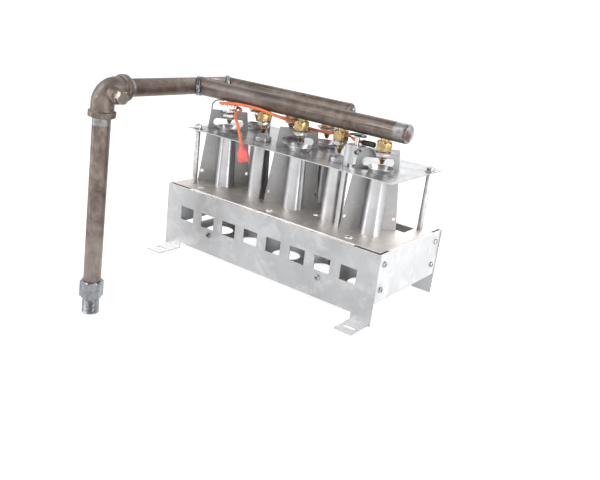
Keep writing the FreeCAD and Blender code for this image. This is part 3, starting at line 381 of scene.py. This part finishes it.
def hexagon_bar(flats, low, high, bore=None, chamfer=1.0):
    """Chamfered hexagon between two heights, with a bore if it is a nut."""
    corner = flats * 0.59
    rim = flats * 0.485
    outline = [(rim, low), (corner, low + chamfer), (corner, high - chamfer), (rim, high)]
    if bore:
        return revolve([(bore, low)] + outline + [(bore, high)], hexagonal(flats), closed=True)
    return revolve(outline, hexagonal(flats))


def thread(radius, low, high, pitch, depth):
    """Screw thread: the radius dips once per pitch, and the dips climb round the bar."""
    steps = max(2, round(6 * (high - low) / pitch))
    heights = [low + (high - low) * step / steps for step in range(steps + 1)]

    def groove(reach, height, angle):
        lead = (height / pitch - angle / math.tau) % 1
        ease = min(1, (height - low) / pitch + 0.2, (high - height) / pitch + 0.2)
        return reach - depth * ease * abs(2 * lead - 1)

    return revolve([(radius, height) for height in heights], groove, segments=60)


class Piece:
    """A visual piece made of several shapes in millimetres, which stands for one CAD node."""

    def __init__(self, node):
        self.node = node
        self.vertices = []
        self.faces = []

    def add(self, shape, at=(0, 0, 0), turn=None):
        """Add a shape, with its origin at a point in metres and turned by a matrix."""
        vertices, faces = shape
        first = len(self.vertices)
        matrix = Matrix.Translation(Vector(at)) @ (turn or Matrix()) @ Matrix.Scale(MM, 4)
        self.vertices += [matrix @ Vector(vertex) for vertex in vertices]
        self.faces += [[first + index for index in face] for face in faces]
        return self

    def finish(self, material=None, sharp=32):
        mesh = bpy.data.meshes.new(f"{self.node}_detail")
        mesh.from_pydata(self.vertices, [], self.faces)
        shell = bmesh.new()
        shell.from_mesh(mesh)
        bmesh.ops.recalc_face_normals(shell, faces=shell.faces)
        shell.to_mesh(mesh)
        shell.free()
        for polygon in mesh.polygons:
            polygon.use_smooth = True
        mesh.set_sharp_from_angle(angle=math.radians(sharp))
        piece = bpy.data.objects.new(mesh.name, mesh)
        bpy.context.scene.collection.objects.link(piece)
        return stand_for(piece, self.node, material or SLOT_MATERIAL[SLOT[self.node]])


def stand_for(piece, node, material):
    """Put a finished visual piece in the place of its CAD node."""
    piece.data.materials.clear()
    piece.data.materials.append(material)
    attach(piece, "root")
    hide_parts(node)
    return piece


def along(direction):
    """Rotation that turns +Z to a direction."""
    return Vector(direction).to_track_quat("Z", "Y").to_matrix().to_4x4()


def foot_of(node):
    """The centre of a node's lowest plane."""
    low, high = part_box(node)
    return Vector(((low.x + high.x) / 2, (low.y + high.y) / 2, low.z))


# ---------------------------------------------------------------- jets

JETS = [f"front_{number}" for number in range(1, 6)] + [f"rear_{number}" for number in (1, 2, 3)]
BELL_LEAST_WIDTH = 33


def tube(name):
    """Smooth venturi tube: collar, long cone, and a plain rim on the narrow tubes or a bell that
    is a spun curve on the wide ones."""
    node = f"venturi_tube_{name}"
    height = size(node).z / MM
    if size(node).x / MM < BELL_LEAST_WIDTH:
        outer = [(16, 0), (16, 14), (12.5, height - 9.6), (12.9, height - 8), (13.7, height - 6.5),
                 (13.7, height - 0.4), (13.4, height)]
        inner = [(12.9, height), (12.7, height - 6.2), (11.5, height - 9.4), (15, 14), (15, 0)]
    else:
        outer = [(16, 0), (16, 12.6), (15.9, 13.4), (15.6, 14.4), (12.5, height - 16.5),
                 (12.8, height - 14.4), (13.5, height - 11.8), (14.6, height - 9.2),
                 (15.9, height - 6.5), (17.2, height - 4), (18.3, height - 2),
                 (18.8, height - 1.1), (19, height - 0.5), (18.8, height)]
        inner = [(18.2, height), (17.6, height - 1.2), (16.4, height - 3.6),
                 (15, height - 6.6), (13.7, height - 9.4), (12.6, height - 12),
                 (11.8, height - 14.6), (11.5, height - 16.5), (15, 14), (15, 0)]
    Piece(node).add(revolve(outer + inner, segments=96, closed=True), foot_of(node)).finish()


def orifice(name):
    """Tapered tip, threaded stem, chamfered hexagon and a neck into the pipe."""
    node = f"orifice_{name}"
    shoulder, top = 17.3, 31.2
    tip = [(0.9, 0), (2.2, 0), (2.6, 0.6), (3.2, 3), (4.6, 6), (5.2, 7.2), (0.9, 7.2)]
    piece = Piece(node)
    piece.add(revolve(tip, segments=40, closed=True), foot_of(node))
    piece.add(thread(6, 7, shoulder, pitch=1.5, depth=0.7), foot_of(node))
    piece.add(hexagon_bar(20.6, shoulder, top, chamfer=1.3), foot_of(node))
    piece.add(revolve([(8.6, 31), (8.9, 31.3), (8.9, 32), (6, 32), (6, 36.5)]), foot_of(node))
    piece.finish()


def locknuts():
    """Locknuts under the brackets' tabs, or under the hexagon where there is no bracket."""
    piece = Piece("orifice_locknuts")
    thick = 5.5
    low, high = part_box("orifice_locknuts")
    for name in JETS:
        held = f"bracket_{name}" in NODES
        base = low.z / MM if held else high.z / MM - thick
        middle = centre(f"orifice_{name}")
        piece.add(hexagon_bar(19, base, base + thick, bore=6, chamfer=0.9),
                  (middle.x, middle.y, 0))
    piece.finish()


# ---------------------------------------------------------------- fasteners

HEAD_RADIUS = 4.4
HEAD_HEIGHT = 2.6
SHANK = 9.0
CROSS_HALF_WIDTH = 0.6
CROSS_REACH = 2.3
CROSS_DEPTH = 1.4


def screw_shape():
    """Pan-head screw with a cross recess, driven along +Z from a seat at the origin."""
    dome = [(HEAD_RADIUS, 0), (HEAD_RADIUS, -0.7), (4.1, -1.5), (3.5, -2.2), (3.0, -2.45)]
    dome += [(2.7 - 0.3 * step, -HEAD_HEIGHT) for step in range(9)]
    vertices, faces = revolve([(2, SHANK), (2, 0)] + dome, segments=48)
    dented = []
    for x, y, z in vertices:
        narrow, wide = sorted((abs(x), abs(y)))
        if z <= -HEAD_HEIGHT and narrow < CROSS_HALF_WIDTH and wide < CROSS_REACH:
            z = CROSS_DEPTH - HEAD_HEIGHT
        dented.append((x, y, z))
    return dented, faces


def screws():
    """Screws of the long panels, the end panels and the pilot bracket, with heads outward."""
    low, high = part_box("panel_screws")
    inset = HEAD_RADIUS * MM
    head = HEAD_HEIGHT * MM
    piece = Piece("panel_screws")
    for x in (low.x + inset, high.x - inset):
        for seat, inward in ((low.y + head, 1), (high.y - head, -1)):
            piece.add(screw_shape(), (x, seat, (low.z + high.z) / 2), along((0, inward, 0)))
    piece.finish(SCREW, sharp=40)
    low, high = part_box("end_panel_screws")
    piece = Piece("end_panel_screws")
    for seat, inward in ((low.x + head, 1), (high.x - head, -1)):
        for y in (low.y + inset, high.y - inset):
            for z in (low.z + inset, high.z - inset):
                piece.add(screw_shape(), (seat, y, z), along((inward, 0, 0)))
    piece.finish(SCREW, sharp=40)
    low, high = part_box("pilot_screws")
    piece = Piece("pilot_screws")
    piece.add(screw_shape(), (high.x - inset, low.y + head, high.z - inset), along((0, 1, 0)))
    piece.add(screw_shape(), (low.x + inset, high.y - inset, low.z + SHANK * MM),
              along((0, 0, -1)))
    piece.finish(SCREW, sharp=40)


BOSS_HEIGHT = 1.4
NUT_HEIGHT = 5


def standoffs():
    """Smooth pillars with threaded ends, pointed at the top, and their nuts and washers."""
    low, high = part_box("standoff_rods")
    radius = 4.2
    inset = radius * MM
    bottom, top = low.z / MM, high.z / MM
    deck_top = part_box("deck_plate")[1].z / MM - BOSS_HEIGHT
    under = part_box("mixing_plate")[0].z / MM
    rods, nuts = Piece("standoff_rods"), Piece("standoff_nuts")
    nut_low, nut_high = (corner.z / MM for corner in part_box("standoff_nuts"))
    pillar = [(3, deck_top), (3.9, deck_top), (radius, deck_top + 0.5), (radius, under - 0.5),
              (3.9, under), (3, under)]
    seat = nut_high - NUT_HEIGHT
    washer = [(3.5, seat - 1), (7.9, seat - 1), (8, seat - 0.8), (7.9, seat), (3.5, seat)]
    for x, y in ((low.x + inset, low.y + inset), (high.x - inset, high.y - inset)):
        foot = (x, y, 0)
        rods.add(thread(3, bottom, deck_top, pitch=1, depth=0.4), foot)
        rods.add(revolve(pillar, segments=48), foot)
        rods.add(thread(3, under, top - 3, pitch=1, depth=0.4), foot)
        rods.add(revolve([(2.7, top - 3.1), (2.4, top - 2), (1.4, top - 0.6), (0.7, top)],
                         segments=32), foot)
        for base in (nut_low, seat):
            nuts.add(hexagon_bar(11, base, base + NUT_HEIGHT, bore=2.9, chamfer=0.7), foot)
        nuts.add(revolve(washer, closed=True), foot)
    rods.finish(PILLAR)
    nuts.finish()


# ---------------------------------------------------------------- pipework

MOUNTS = {mount["name"]: mount for mount in frame["record"]["mounts"]}
INLET_BORE = 8
THREAD_RADIUS = 13.2
THREAD_LENGTH = 26
THREAD_PITCH = 2.54
THREAD_DEPTH = 1.2


def inlet_adapter():
    """Hexagon with round chamfers, and the male thread of the inlet with its bore."""
    mount = MOUNTS["inlet_thread"]
    outward = Vector(mount["axis"])
    seat = Vector(mount["pos_m"]) - THREAD_LENGTH / 2 * MM * outward
    turn = Matrix.Rotation(math.atan2(-outward.x, -outward.z), 4, "Y")
    piece = Piece("inlet_adapter")
    base = 0.3
    piece.add(hexagon_bar(32, base, 29, bore=INLET_BORE, chamfer=1.8), seat, turn)
    steps = [(THREAD_RADIUS, -THREAD_LENGTH + (THREAD_LENGTH + base) * step / 90)
             for step in range(91)]

    def groove(reach, height, angle):
        if reach < THREAD_RADIUS:
            return reach
        ease = min(1, (height + THREAD_LENGTH) / 2.4 + 0.1, max(0, (-height - 1.5) / 1.8))
        turns = height / THREAD_PITCH - angle / math.tau
        return reach - THREAD_DEPTH * ease * abs(2 * (turns % 1) - 1)

    outline = [(INLET_BORE, -THREAD_LENGTH)] + steps + [(INLET_BORE, base)]
    piece.add(revolve(outline, groove, segments=60, closed=True), seat, turn)
    piece.finish(ADAPTER)


def elbow_plug():
    """Hexagon plug screwed into the boss on the elbow's side."""
    low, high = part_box("elbow_plug")
    middle = centre("elbow_plug")
    tilt = math.radians(3)
    lean = along((math.cos(tilt), 0, -math.sin(tilt)))
    reach = (high.x - low.x) / MM - 1
    start = Vector((low.x, middle.y, high.z)) + Vector((0.3, 0, -9.6)) * MM
    piece = Piece("elbow_plug")
    piece.add(revolve([(6, 0), (6, reach - 11.5)]), start, lean)
    piece.add(revolve([(8.8, reach - 12.4), (9.3, reach - 12), (9.3, reach - 10.6),
                       (8.8, reach - 10.3)]), start, lean)
    piece.add(hexagon_bar(17.6, reach - 10.4, reach - 0.4, chamfer=1.4), start, lean)
    piece.finish(PLUG)


def end_cap(node):
    """Domed, dressed weld that closes the end of an arm."""
    middle = centre(node)
    dome = [(13.3, 0), (13.65, 0.6), (13.7, 1.3), (13.3, 2.5), (12.4, 3.8), (10.8, 4.8),
            (8, 5.5), (4, 5.9), (1, 6)]
    place = Vector((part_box(node)[0].x, middle.y, middle.z))
    Piece(node).add(revolve(dome), place, along((1, 0, 0))).finish(
        PIPE_X if node.startswith("rear") else WELD)


def softened(node, voxel, rounds, material, ripple):
    """Copy of a CAD node with rounded, cast or run edges. ripple is (size, depth) in metres."""
    piece = bpy.data.objects.new(f"{node}_detail", NODES[node].data.copy())
    bpy.context.scene.collection.objects.link(piece)
    piece.matrix_world = NODES[node].matrix_world
    remesh = piece.modifiers.new("skin", "REMESH")
    remesh.mode = "VOXEL"
    remesh.voxel_size = voxel
    remesh.use_smooth_shade = True
    smooth = piece.modifiers.new("round", "SMOOTH")
    smooth.iterations = rounds
    smooth.factor = 0.5
    cloud = bpy.data.textures.new(f"{node}_ripple", "CLOUDS")
    cloud.noise_scale, depth = ripple
    waves = piece.modifiers.new("ripple", "DISPLACE")
    waves.texture = cloud
    waves.texture_coords = "LOCAL"
    waves.strength = depth
    waves.mid_level = 0.6
    return stand_for(piece, node, material)


# ---------------------------------------------------------------- pilot and lead

LEAD_ROUTE = [
    (0.106, -0.0255, 0.2279), (0.092, -0.0255, 0.2279), (0.082, -0.014, 0.230),
    (0.065, -0.0065, 0.230), (0.043, -0.006, 0.226), (0.020, -0.005, 0.2240),
    (0.0, -0.0065, 0.2245), (-0.017, -0.0125, 0.229), (-0.032, -0.025, 0.2335),
    (-0.047, -0.0355, 0.2375), (-0.064, -0.038, 0.241), (-0.086, -0.0375, 0.2415),
    (-0.107, -0.0385, 0.2415), (-0.123, -0.0395, 0.2405), (-0.138, -0.0413, 0.2385),
    (-0.153, -0.0375, 0.236), (-0.1588, -0.024, 0.2335), (-0.1525, -0.0115, 0.2315),
    (-0.140, -0.007, 0.230), (-0.128, -0.0115, 0.2285), (-0.122, -0.024, 0.227),
    (-0.1185, -0.037, 0.2255), (-0.111, -0.0465, 0.222), (-0.100, -0.0535, 0.2175),
    (-0.0905, -0.0605, 0.212), (-0.082, -0.067, 0.206), (-0.0755, -0.0715, 0.199),
    (-0.071, -0.073, 0.1905),
]
LEAD_DIAMETER = 0.0045


def boot():
    """Soft red boot of the lead's spade terminal: round neck, flat wide body, moulded ribs."""
    end, before = Vector(LEAD_ROUTE[-1]), Vector(LEAD_ROUTE[-2])
    outline = [(3.2, 0), (3.9, 0.3), (4.1, 1.5), (3.8, 2.2), (4.2, 3.2), (4.0, 4.2), (4.5, 5.4),
               (4.9, 7), (6.6, 8.8), (7.9, 10.6), (8.4, 12.5), (8.45, 18), (8.4, 24),
               (8.1, 26), (7.2, 26.8), (6, 27)]

    def flat(reach, height, angle):
        squeeze = min(1, max(0, (height - 6) / 6)) * 0.42
        return reach * (1 - squeeze * abs(math.sin(angle)) ** 1.6)

    down = (end - before).normalized()
    wide = Vector((0.8, 0.6, 0))
    side = wide - down * down.dot(wide)
    side.normalize()
    turn = Matrix((side, down.cross(side), down)).transposed().to_4x4()
    return Piece("lead_boot").add(revolve(outline, flat), end, turn).finish()


def lead():
    """Orange silicone lead: one smooth curve from the sleeve to the boot, which sags on to the
    third front bracket and goes round the first orifice."""
    curve = bpy.data.curves.new("ignition_lead_detail", "CURVE")
    curve.dimensions = "3D"
    curve.bevel_depth = LEAD_DIAMETER / 2
    curve.bevel_resolution = 6
    curve.resolution_u = 16
    curve.use_fill_caps = True
    spline = curve.splines.new("NURBS")
    spline.points.add(len(LEAD_ROUTE) - 1)
    for point, place in zip(spline.points, LEAD_ROUTE):
        point.co = (*place, 1)
    spline.order_u = 3
    spline.use_endpoint_u = True
    piece = bpy.data.objects.new(curve.name, curve)
    bpy.context.scene.collection.objects.link(piece)
    stand_for(piece, "ignition_lead", ORANGE)
    boot()


def sleeve():
    """Black moulded sleeve with ribs near the lead's end."""
    low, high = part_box("electrode_sleeve")
    middle = centre("electrode_sleeve")
    length = (high.x - low.x) / MM
    outline = [(2.6, 0), (3.2, 0.4)]
    for rib in range(3):
        start = 1 + 2.2 * rib
        outline += [(3.2, start), (3.7, start + 0.4), (3.7, start + 1.1), (3.2, start + 1.5)]
    outline += [(3.8, 8.5), (3.9, 9.2), (3.9, length - 1), (3.3, length - 0.2), (2, length)]
    Piece("electrode_sleeve").add(revolve(outline), (low.x, middle.y, middle.z),
                                  along((1, 0, 0))).finish()


def collar():
    """Bright collar on its neck, under the pipe: a dished round disc with a rolled rim."""
    low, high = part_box("pilot_collar")
    height = (high.z - low.z) / MM
    outline = [(3.5, 0), (3.5, height - 3.4), (5, height - 2.6), (11.4, height - 2.3),
               (12.8, height - 1.8), (13, height - 1.1), (12.6, height - 0.4), (11.6, height - 0.1),
               (10.8, height - 0.5), (6.5, height - 1), (4, height - 0.3), (3, height)]
    Piece("pilot_collar").add(revolve(outline), foot_of("pilot_collar")).finish()


for jet in JETS:
    tube(jet)
    orifice(jet)
locknuts()
screws()
standoffs()
inlet_adapter()
elbow_plug()
end_cap("front_end_cap")
end_cap("rear_end_cap")
softened("elbow", voxel=0.9 * MM, rounds=7, material=CAST, ripple=(14 * MM, 0.5 * MM))
softened("weld_beads", voxel=0.6 * MM, rounds=5, material=WELD, ripple=(3.5 * MM, 1.1 * MM))
lead()
sleeve()
collar()

# ---------------------------------------------------------------- stage, lights and camera

FLOOR_Z = CAD_BOUNDS[0][2] - 1 * MM
ROOM_LIGHT = 1.05
ROOM_LIGHT_OVERHEAD = 0.15
LENS = 41.65
CAMERA_PLACE = (0.5879, -0.8556, 0.4038)
CAMERA_RIGHT = (0.7973, 0.5919, 0.1185)
CAMERA_FORWARD = (-0.5319, 0.7817, -0.3257)


def stage_material():
    """White, and lit from within like a light table, so that no hard shadow falls on it."""
    s = Shader("stage_white")
    s.set(Base_Color=s.mix(s.noise(3, 3, 0.5), (0.34, 0.34, 0.34), (0.3, 0.3, 0.3)),
          Roughness=0.9, Emission_Color=(1, 1, 1, 1), Emission_Strength=0.84)
    return s.material


def stage_mesh(name, corners, faces, material):
    mesh = bpy.data.meshes.new(name)
    mesh.from_pydata(corners, [], faces)
    piece = bpy.data.objects.new(name, mesh)
    bpy.context.scene.collection.objects.link(piece)
    mesh.materials.append(material)
    return piece


def floor_and_plinth():
    """A wide pale floor under the drop leg, and a plinth that the feet stand on."""
    white = stage_material()
    reach = 8
    stage_mesh("floor", [(-reach, -reach, FLOOR_Z), (reach, -reach, FLOOR_Z),
                         (reach, reach, FLOOR_Z), (-reach, reach, FLOOR_Z)], [(0, 1, 2, 3)], white)
    low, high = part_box("front_panel")
    margin = 12 * MM
    x = high.x + margin
    y = -low.y + margin
    corners = [(sx * x, sy * y, z) for z in (FLOOR_Z, -0.02 * MM)
               for sx, sy in ((-1, -1), (1, -1), (1, 1), (-1, 1))]
    faces = [(4, 5, 6, 7)] + [(i, (i + 1) % 4, (i + 1) % 4 + 4, i + 4) for i in range(4)]
    plinth = stage_mesh("plinth", corners, faces, white)
    bevel = plinth.modifiers.new("edge", "BEVEL")
    bevel.width = 3 * MM
    bevel.segments = 3


def area_light(name, place, target, width, height, power):
    data = bpy.data.lights.new(name, "AREA")
    data.shape = "RECTANGLE"
    data.size = width
    data.size_y = height
    data.energy = power
    lamp = bpy.data.objects.new(name, data)
    bpy.context.scene.collection.objects.link(lamp)
    lamp.location = place
    lamp.rotation_euler = (Vector(target) - Vector(place)).to_track_quat("-Z", "Y").to_euler()


def surroundings():
    """White room that turns darker overhead, in broad patches, so that bright metal has
    contrast. It stays white towards the horizon."""
    world = bpy.data.worlds.new("studio")
    bpy.context.scene.world = world
    world.use_nodes = True
    tree = world.node_tree

    def add(kind, **inputs):
        node = tree.nodes.new(kind)
        for name, value in inputs.items():
            socket = node.inputs[name.replace("_", " ")]
            if isinstance(value, bpy.types.NodeSocket):
                tree.links.new(value, socket)
            else:
                socket.default_value = value
        return node

    direction = add("ShaderNodeTexCoord").outputs["Generated"]
    height = add("ShaderNodeSeparateXYZ", Vector=direction).outputs["Z"]
    patches = add("ShaderNodeTexNoise", Vector=direction, Scale=1.9, Detail=1.0).outputs["Fac"]
    patchy = add("ShaderNodeMapRange", Value=patches, From_Min=0.44, From_Max=0.52).outputs[0]
    overhead = add("ShaderNodeMapRange", Value=height, From_Min=0.4, From_Max=0.62).outputs[0]
    shade = add("ShaderNodeMix", Factor=overhead, A=1.0, B=patchy).outputs[0]
    level = add("ShaderNodeMapRange", Value=shade, To_Min=ROOM_LIGHT_OVERHEAD,
                To_Max=ROOM_LIGHT).outputs[0]
    tree.links.new(level, tree.nodes["Background"].inputs["Strength"])
    tree.nodes["Background"].inputs["Color"].default_value = (1, 1, 1, 1)


def studio():
    """Soft boxes: above in front, to the right, behind, and tall strips for the tubes."""
    surroundings()
    area_light("key", (-0.9, -1.3, 1.7), (0, 0, 0.1), 1.2, 1.2, 14)
    area_light("right", (1.9, 0.2, 0.9), (0, 0, 0.1), 1.4, 1.4, 16)
    area_light("back", (-0.3, 1.8, 1.5), (0, 0, 0.1), 1.6, 1.0, 10)
    area_light("strip_left", (-1.1, -1.0, 0.5), (0, 0, 0.12), 0.25, 1.4, 4)
    area_light("strip_right", (1.3, -0.35, 0.5), (0, 0, 0.12), 0.25, 1.4, 4)


def camera():
    """Camera in front, to the right and a little above, looking down along the box."""
    data = bpy.data.cameras.new("camera")
    data.sensor_width = 36
    data.lens = LENS
    data.clip_start = 0.01
    data.clip_end = 50
    right = Vector(CAMERA_RIGHT).normalized()
    forward = Vector(CAMERA_FORWARD).normalized()
    up = right.cross(forward).normalized()
    turn = Matrix((right, up, -forward)).transposed().to_4x4()
    eye = bpy.data.objects.new("camera", data)
    bpy.context.scene.collection.objects.link(eye)
    eye.matrix_world = Matrix.Translation(Vector(CAMERA_PLACE)) @ turn
    bpy.context.scene.camera = eye


bpy.context.scene.view_settings.view_transform = "Standard"
floor_and_plinth()
studio()
camera()
